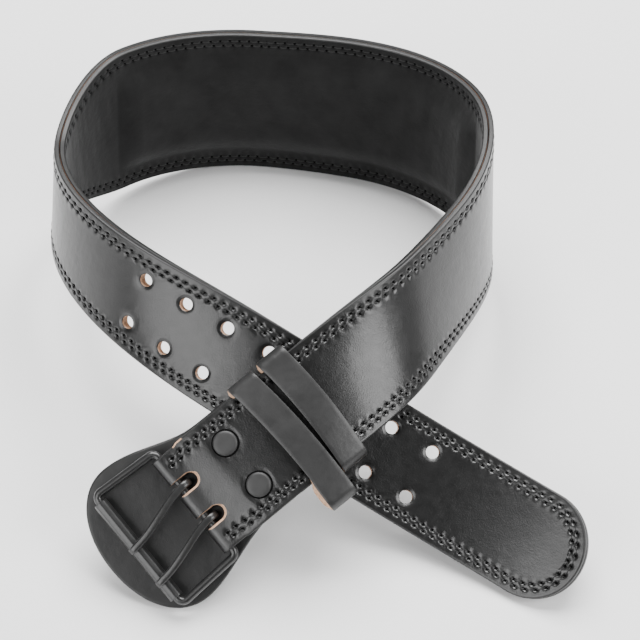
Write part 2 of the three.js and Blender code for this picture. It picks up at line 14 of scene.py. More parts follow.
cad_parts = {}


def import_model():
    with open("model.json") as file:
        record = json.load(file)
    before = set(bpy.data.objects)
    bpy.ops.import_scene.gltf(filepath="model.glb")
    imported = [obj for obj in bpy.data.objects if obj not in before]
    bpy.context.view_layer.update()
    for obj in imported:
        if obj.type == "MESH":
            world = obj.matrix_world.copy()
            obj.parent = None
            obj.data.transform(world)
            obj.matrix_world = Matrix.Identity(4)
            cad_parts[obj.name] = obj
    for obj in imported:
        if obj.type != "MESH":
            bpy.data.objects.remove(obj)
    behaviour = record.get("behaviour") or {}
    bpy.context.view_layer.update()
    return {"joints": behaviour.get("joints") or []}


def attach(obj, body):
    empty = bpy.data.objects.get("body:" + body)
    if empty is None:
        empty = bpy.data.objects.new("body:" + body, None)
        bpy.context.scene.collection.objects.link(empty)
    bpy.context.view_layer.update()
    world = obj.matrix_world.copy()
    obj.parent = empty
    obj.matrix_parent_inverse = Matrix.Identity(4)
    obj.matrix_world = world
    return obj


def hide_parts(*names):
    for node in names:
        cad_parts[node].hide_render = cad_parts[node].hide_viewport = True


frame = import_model()

MM = 0.001

# Sizes of the belt, as in the solids
TONGUE_REACH = 610.0
BUCKLE_REACH = 501.0
BACK_WIDTH = 108.0
TONGUE_WIDTH = 65.0
BUCKLE_STRAP_WIDTH = 69.0
PLY = 3.3
PLY_GAP = 0.3
PAD_RISE = 6.0
PAD_MARGIN = 15.0
PAD_EDGE = 16.0
HOLE_RADIUS = 4.0
HOLE_PAIRS = 8
HOLE_PITCH = 28.4
HOLE_ROWS_APART = 31.0
FIRST_HOLE_PAIR = 299.0
FOLD_SETBACK = 9.0
BAR_PLAY = 0.5
TAIL_LENGTH = 52.0
TAIL_RISE = 14.0
FOLD_NARROWING = 0.8
SLOT_WIDTH = 9.2
SLOT_LENGTH = 11.8
RIVET_SETBACK = 36.0
RIVET_HEAD_RADIUS = 7.3
RIVET_HEAD_HEIGHT = 1.5
FRAME_WIRE = 2.5
FRAME_REACH = 43.0
FRAME_SIDE_PLAY = 1.3
FRAME_SPREAD = 1.9
FRAME_CORNER = 4.0
ROLLER_RADIUS = 4.5
ROLLER_BORE = 3.0
ROLLER_END_PLAY = 0.8
PRONG_WIRE = 1.9
PRONGS_APART = 24.5
PRONG_SKEW = 10.4
PRONG_ARCH = 1.4
PRONG_OVERHANG = 3.6
PRONG_EYE_SWEEP = (355, 90)
PRONG_BEND = (0, 0.9)
FLAP_LEATHER = 3.6
FLAP_NECK_WIDTH = 69.6
FLAP_WIDTH = 97.0
FLAP_SIDE_SHIFT = 1.3
FLAP_FLARE_SETBACK = 30.0
FLAP_BEYOND_ROLLER = 21.0
FLAP_ROUND_LENGTH = 34.0
FLAP_FULLNESS = 2.1
FLAP_DROP = 1.0
KEEPER_LEATHER = 2.8
KEEPER_WIDTH = 17.6
KEEPER_CORNER = 5.4
KEEPER_PLAY = 0.7
FRONT_KEEPER = {"upper": 2.0, "lower": 17.6, "crown": 2.2, "bow": 1.2, "bow_at": 28.0}
REAR_KEEPER = {"upper": 3.2, "lower": 4.2, "crown": 3.4, "bow": 1.3, "bow_at": 3.0}
KEEPER_SETBACK = 60.8
KEEPER_SPACING = 2.1
CROSSING_PLAY = 0.9

# The course of each half: share of its length, degrees turned from the back, degrees of lean
TONGUE_COURSE = [
    (0, -5, -9), (0.125, 26, -8), (0.25, 70, -1), (0.375, 116, 15), (0.5, 142, 33),
    (0.625, 151, 55), (0.75, 156, 63), (0.875, 149, 60), (1, 139, 52),
]
BUCKLE_COURSE = [
    (0, 5, -9), (0.125, 16, -11), (0.25, 45, -9), (0.375, 87, 1), (0.5, 117, 13),
    (0.625, 126, 32), (0.75, 140, 56), (0.875, 147, 65), (1, 148, 61),
]
TONGUE_CLIMB = 1.7
COURSE_STEPS = 120
TONGUE_TAPER = (0.16, 0.295)
BUCKLE_TAPER = (0.31, 0.64)
PAD_ENDS = {"tongue": 0.172, "buckle": 0.335}

# Places worked out from them
FOLD_INNER = FRAME_WIRE + BAR_PLAY
FOLD_OUTER = FOLD_INNER + PLY
BAR_S = BUCKLE_REACH - FOLD_SETBACK
BAR_H = PLY_GAP / 2 - FOLD_INNER
TOP = PLY_GAP / 2 + PLY
TAIL_S = BAR_S - TAIL_LENGTH
RIVET_S = BAR_S - RIVET_SETBACK
FLAP_START = TAIL_S + PLY_GAP
FLAP_END = BAR_S + FRAME_REACH + FLAP_BEYOND_ROLLER
FLAP_TOP_AT_TAIL = -TOP - PLY_GAP
FLAP_TOP_AT_BUCKLE = BAR_H - FOLD_OUTER - FLAP_DROP
FRONT_KEEPER_S = BAR_S - KEEPER_SETBACK - KEEPER_WIDTH
REAR_KEEPER_S = FRONT_KEEPER_S - KEEPER_SPACING - KEEPER_WIDTH
FRAME_HALF = BUCKLE_STRAP_WIDTH / 2 + FRAME_SIDE_PLAY + FRAME_WIRE
FRAME_OUTER_HALF = FRAME_HALF + FRAME_SPREAD


def smoothstep(x, low, high):
    t = np.clip((np.asarray(x, float) - low) / (high - low), 0, 1)
    return t * t * (3 - 2 * t)


# Course


def row_value(rows, column, share):
    """A smooth curve through one column of a course's rows."""
    last = len(rows) - 1
    place = min(max(share, 0), 1)
    index = 0
    while index < last - 1 and rows[index + 1][0] <= place:
        index += 1

    def value(n):
        if n < 0:
            return 2 * rows[0][column] - rows[1][column]
        if n > last:
            return 2 * rows[last][column] - rows[last - 1][column]
        return rows[n][column]

    part = (place - rows[index][0]) / (rows[index + 1][0] - rows[index][0])
    a, b, c, d = (value(index + k) for k in (-1, 0, 1, 2))
    return b + 0.5 * part * (c - a + part * (2 * a - 5 * b + 4 * c - d + part * (3 * (b - c) + d - a)))


def walk_half(rows, length, side, start_climb):
    """The stations of one half, as arrays of place, along, across and normal."""
    place = np.zeros(3)
    climb = math.radians(start_climb)
    last_turn = math.radians(rows[0][1])
    last_ahead = None
    found = {"place": [], "along": [], "across": [], "normal": []}
    for i in range(COURSE_STEPS + 1):
        share = i / COURSE_STEPS
        turn = math.radians(row_value(rows, 1, share))
        lean = math.radians(row_value(rows, 2, share))
        lean_before = math.radians(row_value(rows, 2, share - 0.5 / COURSE_STEPS))
        climb -= (turn - last_turn) * math.cos(climb) * math.tan(lean_before)
        heading = -turn if side > 0 else math.pi + turn
        flat = np.array([math.cos(heading), math.sin(heading), 0])
        ahead = math.cos(climb) * flat + np.array([0, 0, math.sin(climb)])
        rise = -math.sin(climb) * flat + np.array([0, 0, math.cos(climb)])
        outward = np.cross(rise, ahead) * side
        if last_ahead is not None:
            middle = last_ahead + ahead
            place = place + middle / np.linalg.norm(middle) * length / COURSE_STEPS
        found["place"].append(place)
        found["along"].append(ahead * side)
        found["across"].append(outward * math.sin(lean) - rise * math.cos(lean))
        found["normal"].append(outward * math.cos(lean) + rise * math.sin(lean))
        last_turn = turn
        last_ahead = ahead
    return {key: np.array(value) for key, value in found.items()}


def unit(vectors):
    return vectors / np.linalg.norm(vectors, axis=-1, keepdims=True)


def stations_at(half, length, side, distance):
    """Place, along, across and normal at distances along a half."""
    distance = np.asarray(distance, float)
    position = np.clip(distance / length, 0, 1) * COURSE_STEPS
    index = np.minimum(np.floor(position).astype(int), COURSE_STEPS - 1)
    part = (position - index)[..., None]

    def between(key):
        return half[key][index] * (1 - part) + half[key][index + 1] * part

    along = unit(between("along"))
    across = between("across")
    across = unit(across - along * (across * along).sum(-1, keepdims=True))
    place = between("place") + along * (np.maximum(distance - length, 0) * side)[..., None]
    return place, along, across, np.cross(along, across)


def crossing_height(tongue, buckle):
    """Smallest height of the buckle strap's middle plane over the tongue strap's, where they cross."""
    shares = []
    share = 0.6
    while share <= 0.97:
        shares.append(share)
        share += 0.01
    place, _, across, _ = stations_at(buckle, BUCKLE_REACH, 1, np.array(shares) * BUCKLE_REACH)
    edges = np.array([-1, -0.5, 0, 0.5, 1]) * BUCKLE_STRAP_WIDTH / 2
    points = place[:, None] + across[:, None] * edges[None, :, None]
    chosen = slice(round(0.45 * COURSE_STEPS), math.ceil(0.95 * COURSE_STEPS))
    offset = points.reshape(-1, 1, 3) - tongue["place"][None, chosen]
    near = np.abs((offset * tongue["along"][chosen]).sum(-1)) < TONGUE_REACH / COURSE_STEPS
    over = np.abs((offset * tongue["across"][chosen]).sum(-1)) < TONGUE_WIDTH / 2 + KEEPER_LEATHER
    height = (offset * tongue["normal"][chosen]).sum(-1)
    return np.where(near & over, height, np.inf).min()


def lay_course():
    pass_height = 2 * TOP + KEEPER_LEATHER + 2 * KEEPER_PLAY + CROSSING_PLAY
    tongue = walk_half(TONGUE_COURSE, TONGUE_REACH, -1, TONGUE_CLIMB)
    low, high = -12.0, 12.0
    for _ in range(24):
        middle = (low + high) / 2
        height = crossing_height(tongue, walk_half(BUCKLE_COURSE, BUCKLE_REACH, 1, middle))
        if height > pass_height:
            high = middle
        else:
            low = middle
    return tongue, walk_half(BUCKLE_COURSE, BUCKLE_REACH, 1, high)


TONGUE_HALF, BUCKLE_HALF = lay_course()


def course_frames(s):
    s = np.asarray(s, float)
    tongue = stations_at(TONGUE_HALF, TONGUE_REACH, -1, np.maximum(-s, 0))
    buckle = stations_at(BUCKLE_HALF, BUCKLE_REACH, 1, np.maximum(s, 0))
    choose = (s < 0)[..., None]
    return [np.where(choose, a, b) for a, b in zip(tongue, buckle)]


def settle():
    """The turn and shift that take the course to the frame, read off the buckle's joints."""
    joints = {joint["name"]: joint for joint in frame["joints"]}
    bar = np.array(joints["frame_hinge"]["pos_m"]) / MM
    across = unit(-np.array(joints["frame_hinge"]["axis"]))
    along = unit(np.array(joints["roller_spin"]["pos_m"]) / MM - bar)
    there = np.stack([along, across, np.cross(along, across)], 1)
    place, own_along, own_across, own_normal = (value[0] for value in course_frames([BAR_S]))
    here = np.stack([own_along, own_across, own_normal], 1)
    turn = there @ here.T
    return turn, bar - turn @ (place + own_normal * BAR_H)


SETTLE_TURN, SETTLE_SHIFT = settle()


def to_frame(points):
    """Points (s, w, h) of the flat layout, in metres in the frame."""
    points = np.asarray(points, float)
    place, _, across, normal = course_frames(points[..., 0])
    bent = place + across * points[..., 1:2] + normal * points[..., 2:3]
    return (bent @ SETTLE_TURN.T + SETTLE_SHIFT) * MM


def frame_on_strap(s, w, h):
    """A matrix whose x, y and z run along the strap, across it and out of its face, in metres."""
    _, along, across, normal = (SETTLE_TURN @ value[0] for value in course_frames([s]))
    matrix = Matrix.Identity(4)
    for column, axis in enumerate((along, across, normal)):
        for row in range(3):
            matrix[row][column] = axis[row]
    matrix.translation = Vector(to_frame([[s, w, h]])[0])
    return matrix


# Meshes


class Shape:
    """Points in the flat layout with quads over them. Equal points are merged when it is made."""

    def __init__(self):
        self.points = []
        self.quads = []
        self.finishes = []
        self.count = 0

    def grid(self, points, finish=0, loop=False):
        """points is an array of rows by columns by (s, w, h). loop joins the last column to the first, and
        finish is one material's number or one for each quad."""
        rows, columns = points.shape[:2]
        index = self.count + np.arange(rows * columns).reshape(rows, columns)
        if loop:
            index = np.concatenate([index, index[:, :1]], 1)
        quads = np.stack([index[:-1, :-1], index[:-1, 1:], index[1:, 1:], index[1:, :-1]], -1).reshape(-1, 4)
        self.points.append(points.reshape(-1, 3))
        self.quads.append(quads)
        self.finishes.append(np.broadcast_to(np.ravel(finish), len(quads)))
        self.count += rows * columns

    def make(self, name, materials, place=to_frame, sharp=40):
        points = np.concatenate(self.points)
        quads = np.concatenate(self.quads)
        finishes = np.concatenate(self.finishes)
        keys = np.round(points * 2000).astype(np.int64)
        _, first, index = np.unique(keys, axis=0, return_index=True, return_inverse=True)
        index = index.reshape(-1)
        corners = place(points[first])
        faces = []
        kept = []
        for quad, finish in zip(index[quads].tolist(), finishes.tolist()):
            ring = [v for n, v in enumerate(quad) if v != quad[n - 1]]
            if len(set(ring)) == len(ring) and len(ring) > 2:
                faces.append(ring)
                kept.append(finish)
        mesh = bpy.data.meshes.new(name)
        mesh.from_pydata(corners.tolist(), [], faces)
        for material in materials:
            mesh.materials.append(material)
        mesh.polygons.foreach_set("material_index", np.array(kept, np.int32))
        return finished(name, mesh, sharp)


def finished(name, mesh, sharp=40):
    """An object of the mesh with its faces outwards, smooth but for edges sharper than sharp degrees."""
    work = bmesh.new()
    work.from_mesh(mesh)
    bmesh.ops.recalc_face_normals(work, faces=work.faces)
    work.to_mesh(mesh)
    work.free()
    mesh.update()
    mesh.polygons.foreach_set("use_smooth", np.ones(len(mesh.polygons), bool))
    mesh.set_sharp_from_angle(angle=math.radians(sharp))
    thing = bpy.data.objects.new(name, mesh)
    bpy.context.scene.collection.objects.link(thing)
    return thing


def dress(thing, body, slot, *nodes):
    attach(thing, body)
    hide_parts(*nodes)
    return thing


# Columns along the strap: stitches sit at every sixth one

PER_STITCH = 6
COLUMN = HOLE_PITCH / 27
TIP_COLUMNS = 39


def half_width(s):
    s = np.asarray(s, float)
    tongue = TONGUE_WIDTH - BACK_WIDTH
    buckle = BUCKLE_STRAP_WIDTH - BACK_WIDTH
    on_tongue = BACK_WIDTH + tongue * smoothstep(-s / TONGUE_REACH, *TONGUE_TAPER)
    on_buckle = BACK_WIDTH + buckle * smoothstep(s / BUCKLE_REACH, *BUCKLE_TAPER)
    return np.where(s < 0, on_tongue, on_buckle) / 2


def evenly(start, end, step=COLUMN):
    return np.linspace(start, end, max(2, round(abs(end - start) / step) + 1))


HOLES_S = -FIRST_HOLE_PAIR - HOLE_PITCH * np.arange(HOLE_PAIRS)[::-1]
HOLES_FROM = HOLES_S[0] - HOLE_PITCH / 2
HOLES_TO = HOLES_S[-1] + HOLE_PITCH / 2
TIP_CENTRE = TONGUE_WIDTH / 2 - TONGUE_REACH


class Columns:
    """Columns across a leather piece, from the tongue's tip on. Each has its outline point (s, half width)
    and the outline's outward direction there, on the lower side."""

    def __init__(self, s, half, out_s, out_w):
        self.s = s
        self.half = half
        self.out_s = out_s
        self.out_w = out_w

    def at(self, place):
        """The outline's values at a column number that needn't be whole."""
        numbers = np.arange(len(self.s))
        return [np.interp(place, numbers, value) for value in (self.s, self.half, self.out_s, self.out_w)]

    def up_to(self, last):
        """The columns from the tip up to the column number last."""
        return Columns(*(value[:last + 1] for value in (self.s, self.half, self.out_s, self.out_w)))


def strap_columns(end):
    angle = np.linspace(0, math.pi / 2, TIP_COLUMNS + 1)
    radius = TONGUE_WIDTH / 2
    straight = np.concatenate([
        evenly(TIP_CENTRE, HOLES_FROM)[1:], evenly(HOLES_FROM, HOLES_TO)[1:], evenly(HOLES_TO, end)[1:]])
    return Columns(
        np.concatenate([TIP_CENTRE - radius * np.cos(angle), straight]),
        np.concatenate([radius * np.sin(angle), half_width(straight)]),
        np.concatenate([-np.cos(angle), np.zeros(len(straight))]),
        np.concatenate([np.sin(angle), np.ones(len(straight))]))


# Distances from the edge at which the outer rows of a ply run, and the half width of its middle
EDGE_ROUND = 0.9
BAND = 10.0
BAND_ROWS = [0.9, 1.8, 2.9, 3.7, 4.3, 4.7, 5.0, 5.3, 5.7, 6.3, 7.0, 7.6, 8.1, 8.4, 8.7, 9.2, 10.0]
STITCH_ROWS = [{"inset": 5.0, "shift": 0}, {"inset": 8.4, "shift": 2}]
MIDDLE_ROWS = 11
DIMPLE = {"depth": 1.3, "along": 1.2, "across": 1.05}
PUCKER = {"height": 0.2, "along": 1.8, "across": 1.9}


def stitch_relief(number, inset):
    """Steep dimples at the needle holes and the leather swelling between them."""
    total = np.zeros(np.broadcast(number, inset).shape)
    for row in STITCH_ROWS:
        phase = (number - row["shift"] + PER_STITCH / 2) % PER_STITCH - PER_STITCH / 2
        along = phase * COLUMN
        away = inset - row["inset"]
        reach = (away / DIMPLE["across"]) ** 2 + (along / DIMPLE["along"]) ** 2
        total -= DIMPLE["depth"] * np.exp(-reach ** 1.6)
        swell = np.exp(-(away / PUCKER["across"]) ** 2)
        total += PUCKER["height"] * swell * (1 - np.exp(-(along / PUCKER["along"]) ** 2))
    return total


# The last finish number is painted shade: a near-black matte finish on the needle-hole dimples and on the ring
# round each rivet head.
LEATHER, RAW, EDGE, NEEDLE_SHADE = 0, 1, 2, 3


def band_finish(relief):
    """The finish of each quad of a band: painted shade, near-black and matte, in the needle holes, leather
    elsewhere.
    """
    deep = (relief < -0.4 * DIMPLE["depth"]).astype(int)
    corners = deep[:-1, :-1] + deep[1:, :-1] + deep[:-1, 1:] + deep[1:, 1:]
    return np.where(corners >= 2, NEEDLE_SHADE, LEATHER)


def hole_cell(centre, s_values, w_values, face, rim):
    """Rings from a punched hole out to the rectangle round it, as (rings, points, 3)."""
    edge = [(s, w_values[0]) for s in s_values[:-1]] + [(s_values[-1], w) for w in w_values[:-1]]
    edge += [(s, w_values[-1]) for s in s_values[:0:-1]] + [(s_values[0], w) for w in w_values[:0:-1]]
    edge = np.array(edge)
    centre = np.array(centre)
    reach = np.linalg.norm(edge - centre, axis=1)
    direction = (edge - centre) / reach[:, None]
    rings = []
    for radius, height in rim:
        flat = centre + direction * radius
        rings.append(np.column_stack([flat, np.full(len(flat), height)]))
    outer = rim[-1][0]
    for share in (0.3, 0.62, 1.0):
        flat = edge if share == 1.0 else centre + direction * (outer + (reach - outer) * share)[:, None]
        rings.append(np.column_stack([flat, face(flat[:, 0], flat[:, 1])]))
    return np.array(rings)


HOLE_RIM = [
    {"beyond": 0.0, "sunk": 0.95}, {"beyond": 0.12, "sunk": 0.72}, {"beyond": 0.4, "sunk": 0.55},
    {"beyond": 0.8, "sunk": 0.42}, {"beyond": 1.3, "sunk": 0.24}, {"beyond": 1.8, "sunk": 0.09},
    {"beyond": 2.3, "sunk": 0.0},
]


def edge_profile(thickness, rounding, steps=4):
    """Insets and drops from a visible face, over its rounded edge, to the hidden face."""
    angles = np.linspace(0, math.pi / 2, steps)
    insets = list(rounding * (1 - np.sin(angles))) + [0, 0.5]
    drops = list(rounding * (1 - np.cos(angles))) + [thickness - 0.5, thickness]
    return np.array(insets), np.array(drops)


def ply(name, columns, visible, hidden, relief, materials):
    """A leather ply: its visible face with relief, softened edges, a flat hidden face and punched holes.
    visible and hidden are heights, and relief(s, w) rises out of the visible face."""
    sign = 1 if visible > hidden else -1
    shape = Shape()
    number = np.arange(len(columns.s))[:, None]

    def rows(side, insets, height):
        s = columns.s[:, None] - columns.out_s[:, None] * insets
        w = side * (columns.half[:, None] - columns.out_w[:, None] * insets)
        return np.stack(np.broadcast_arrays(s, w, height(s, w)), -1)

    def face_height(insets):
        return lambda s, w: visible + sign * (stitch_relief(number, insets) + relief(s, w))

    wall_insets, wall_drops = edge_profile(abs(visible - hidden), EDGE_ROUND)
    band_insets = np.array(BAND_ROWS)[None, :]
    bands = {}
    walls = {}
    for side in (-1, 1):
        bands[side] = rows(side, band_insets, face_height(band_insets))
        first_height = bands[side][:, :1, 2]
        walls[side] = rows(side, wall_insets[None, :], lambda s, w: np.where(
            wall_drops[None, :] == 0, first_height, visible - sign * wall_drops[None, :]))
        shape.grid(bands[side], band_finish(stitch_relief(number, band_insets)))
        shape.grid(walls[side], EDGE)

    shares = np.linspace(-1, 1, 2 * MIDDLE_ROWS + 1)[None, :]

    def across_middle(inset, height):
        s = np.broadcast_to((columns.s - columns.out_s * inset)[:, None], (len(columns.s), shares.shape[1]))
        w = (columns.half - columns.out_w * inset)[:, None] * shares
        return np.stack([s, w, height(s, w)], -1)

    middle = across_middle(BAND, lambda s, w: visible + sign * relief(s, w))
    middle[:, 0, 2] = bands[-1][:, -1, 2]
    middle[:, -1, 2] = bands[1][:, -1, 2]
    under = across_middle(wall_insets[-1], lambda s, w: np.full(s.shape, float(hidden)))
    first = int(np.argmin(np.abs(columns.s - HOLES_FROM)))
    last = int(np.argmin(np.abs(columns.s - HOLES_TO)))
    for grid, finish in ((middle, LEATHER), (under, RAW)):
        shape.grid(grid[:first + 1], finish)
        shape.grid(grid[last:], finish)

    per_cell = (last - first) // HOLE_PAIRS
    rim = [(HOLE_RADIUS + row["beyond"], visible - sign * row["sunk"]) for row in HOLE_RIM]
    for k in range(HOLE_PAIRS):
        chosen = slice(first + k * per_cell, first + (k + 1) * per_cell + 1)
        s_values = columns.s[chosen]
        for side in (-1, 1):
            centre = ((s_values[0] + s_values[-1]) / 2, side * HOLE_ROWS_APART / 2)
            band_edge = bands[side][chosen, -1, 2]
            inner = TONGUE_WIDTH / 2 - BAND

            def face(s, w):
                on_band = np.abs(np.abs(w) - inner) < 1e-6
                return np.where(on_band, np.interp(s, s_values, band_edge), float(visible))

            w_values = np.linspace(0, side * inner, MIDDLE_ROWS + 1)
            rings = hole_cell(centre, s_values, w_values, face, rim)
            shape.grid(rings, loop=True)
            w_under = np.linspace(0, side * (TONGUE_WIDTH / 2 - wall_insets[-1]), MIDDLE_ROWS + 1)
            below = hole_cell(centre, s_values, w_under, lambda s, w: np.full(len(s), float(hidden)),
                [(HOLE_RADIUS, hidden)])
            shape.grid(below, RAW, loop=True)
            # Both faces' circles have points in other directions, so the wall is a ring of its own
            angle = np.linspace(0, 2 * math.pi, 49)[:-1]
            circle = np.column_stack([
                centre[0] + HOLE_RADIUS * np.cos(angle), centre[1] + HOLE_RADIUS * np.sin(angle)])
            heights = np.linspace(rim[0][1], hidden, 4)
            wall = np.stack([np.column_stack([circle, np.full(len(circle), h)]) for h in heights])
            shape.grid(wall, RAW, loop=True)

    end = np.concatenate([walls[-1][-1, ::-1], bands[-1][-1, 1:], middle[-1, 1:-1], bands[1][-1, ::-1],
        walls[1][-1, 1:]])
    end_under = end.copy()
    end_under[:, 2] = hidden
    shape.grid(np.stack([end, end_under]), RAW)
    return shape.make(name, materials)


# The fold round the buckle's inner bar, and the tail under it

STITCHES_END = BAR_S - 3
RIVET_GROOVE = {"radius": RIVET_HEAD_RADIUS + 0.8, "width": 0.8, "depth": 0.45}
BARE_EDGE = {"setback": 14.5, "length": 7.5}

# The outer leather is in two pieces, and their seam lies under the front keeper
WHOLE_COLUMNS = strap_columns(BAR_S)
SEAM_COLUMN = int(np.argmin(np.abs(WHOLE_COLUMNS.s - FRONT_KEEPER_S - KEEPER_WIDTH / 2)))


FOLD_STEPS = 24


def fold_path():
    """Base points (s, h) of the strap's hidden face with outward directions, from the strap to the tail."""
    path = [(s, PLY_GAP / 2, 0, 1) for s in WHOLE_COLUMNS.s[SEAM_COLUMN:]]
    for angle in np.linspace(math.pi / 2, -math.pi / 2, FOLD_STEPS + 1)[1:]:
        out = (math.cos(angle), math.sin(angle))
        path.append((BAR_S + FOLD_INNER * out[0], BAR_H + FOLD_INNER * out[1], *out))
    bottom = BAR_H - FOLD_INNER
    risen = -PLY_GAP / 2
    for share in np.linspace(0, 1, 15)[1:]:
        slant = math.atan(6 * share * (1 - share) * (risen - bottom) / TAIL_RISE)
        lift = float(smoothstep(share, 0, 1))
        height = bottom + lift * (risen - bottom)
        path.append((BAR_S - share * TAIL_RISE, height, -math.sin(slant), -math.cos(slant)))
    path += [(s, risen, 0, -1) for s in evenly(BAR_S - TAIL_RISE, TAIL_S, 2)[1:]]
    return np.array(path)


# The strap's end is pared thinner towards the bar, and the slots' rims are cut at a slant
PARED = {"depth": 1.5, "from": 28, "to": 6}
SLANT = {"from": TOP - PARED["depth"] - 1.1, "to": TOP + 1, "slope": 1.1, "least": 0.3}


def pared_face(s, w):
    """How the outer leather's visible face drops towards the bar."""
    drop = PARED["depth"] * smoothstep(s, BAR_S - PARED["from"], BAR_S - PARED["to"])
    return np.broadcast_to(-drop, np.broadcast(s, w).shape)


def slot_cutter(w):
    radius = SLOT_WIDTH / 2
    inner = BAR_S - SLOT_LENGTH + radius + FOLD_NARROWING
    runs = np.linspace(inner, BAR_S + 2 * FOLD_OUTER, 24)[1:]
    arc = np.linspace(math.pi / 2, 3 * math.pi / 2, 17)
    s = np.concatenate([runs[::-1], np.full(len(arc), inner), runs])
    angle = np.concatenate([np.full(len(runs), arc[0]), arc, np.full(len(runs), arc[-1])])
    out = np.column_stack([np.cos(angle), np.sin(angle)])
    flaring = SLANT["slope"] * (SLANT["least"] + (1 - SLANT["least"]) * smoothstep(out[:, 1], -0.9, -0.2))
    shape = Shape()
    rings = []
    for height in (-20, -8, 0, SLANT["from"], SLANT["to"], 20):
        risen = min(height, SLANT["to"]) - SLANT["from"]
        reach = radius + flaring * max(risen, 0)
        rings.append(np.column_stack([s + out[:, 0] * reach, w + out[:, 1] * reach, np.full(len(s), height)]))
    rings = np.array(rings)
    shape.grid(rings, RAW, loop=True)
    for ring in (rings[0], rings[-1]):
        half = (len(ring) + 1) // 2
        shape.grid(np.stack([ring[:half], ring[::-1][:half]]), RAW)
    return shape.make("slot_cutter", [])


def fold_strip(materials):
    path = fold_path()
    shape = Shape()
    straight = int(np.sum(path[:, 3] == 1))
    along = np.arange(len(path))[:, None]
    half = half_width(np.minimum(path[:, 0], BAR_S - SLOT_LENGTH))
    narrowed = smoothstep(path[:, 0], BAR_S - SLOT_LENGTH - 2, BAR_S - SLOT_LENGTH + FOLD_NARROWING)
    half = half - FOLD_NARROWING * np.where(along[:, 0] < straight, narrowed, 1)
    number = SEAM_COLUMN + np.minimum(along, straight)
    stitched = (along < straight) & (path[:, :1] < STITCHES_END)
    regained = np.clip(1 - (along - straight) / FOLD_STEPS, 0, 1)
    thinning = np.where(along < straight, -pared_face(path[:, :1], 0), PARED["depth"] * regained)

    def relief(w, inset):
        total = np.where(stitched, stitch_relief(number, inset), 0) - thinning
        for side in (-1, 1):
            reach = np.hypot(path[:, :1] - RIVET_S, w - side * HOLE_ROWS_APART / 2)
            pressed = np.exp(-((reach - RIVET_GROOVE["radius"]) / RIVET_GROOVE["width"]) ** 2)
            total = total - np.where(along < straight, RIVET_GROOVE["depth"] * pressed, 0)
        return total

    def placed(w, q):
        w, q = np.broadcast_arrays(w, q)
        return np.stack([path[:, :1] + path[:, 2:3] * q, w, path[:, 1:2] + path[:, 3:4] * q], -1)

    insets = np.array(BAND_ROWS)[None, :]
    shares = np.linspace(-1, 1, 2 * MIDDLE_ROWS + 1)[None, :]
    wall_insets, wall_drops = edge_profile(PLY, EDGE_ROUND)
    section = []
    for side in (-1, 1):
        w = side * (half[:, None] - insets)
        band = placed(w, PLY + relief(w, insets))
        wall = placed(side * (half[:, None] - wall_insets[None, :]),
            (PLY + relief(w, insets)[:, :1]) * (1 - wall_drops[None, :] / PLY))
        shape.grid(band, band_finish(relief(w, insets) + thinning))
        bare = (along[:-1] < straight) & (side < 0) & (np.abs(path[:-1, :1] - BAR_S + BARE_EDGE["setback"])
            < BARE_EDGE["length"] / 2)
        shape.grid(wall, np.broadcast_to(np.where(bare, RAW, EDGE), (len(path) - 1, len(wall_drops) - 1)))
        section.append((wall, band))
    w = (half[:, None] - BAND) * shares
    q = PLY + relief(w, half[:, None] - np.abs(w))
    middle = placed(w, q)
    middle[:, 0] = section[0][1][:, -1]
    middle[:, -1] = section[1][1][:, -1]
    shape.grid(middle)
    shape.grid(placed((half[:, None] - wall_insets[-1]) * shares, 0), RAW)
    for end in (0, -1):
        top = np.concatenate([section[0][0][end, ::-1], section[0][1][end, 1:], middle[end, 1:-1],
            section[1][1][end, ::-1], section[1][0][end, 1:]])
        base = top.copy()
        base[:, 0] = path[end, 0]
        base[:, 2] = path[end, 1]
        shape.grid(np.stack([top, base]), RAW)
    strip = shape.make("outer_fold", materials)
    for side in (-1, 1):
        cutter = slot_cutter(side * PRONGS_APART / 2)
        cut = strip.modifiers.new("slot", "BOOLEAN")
        cut.operation = "DIFFERENCE"
        cut.solver = "EXACT"
        cut.object = cutter
        bpy.context.view_layer.objects.active = strip
        bpy.ops.object.modifier_apply(modifier="slot")
        bpy.data.objects.remove(cutter)
    strip.data.set_sharp_from_angle(angle=math.radians(40))
    return strip


# Thread: one short arched length between each two needle holes

THREAD = {"radius": 0.42, "rise": 0.3, "sunk": 0.34, "from": 0.1, "to": 0.9}


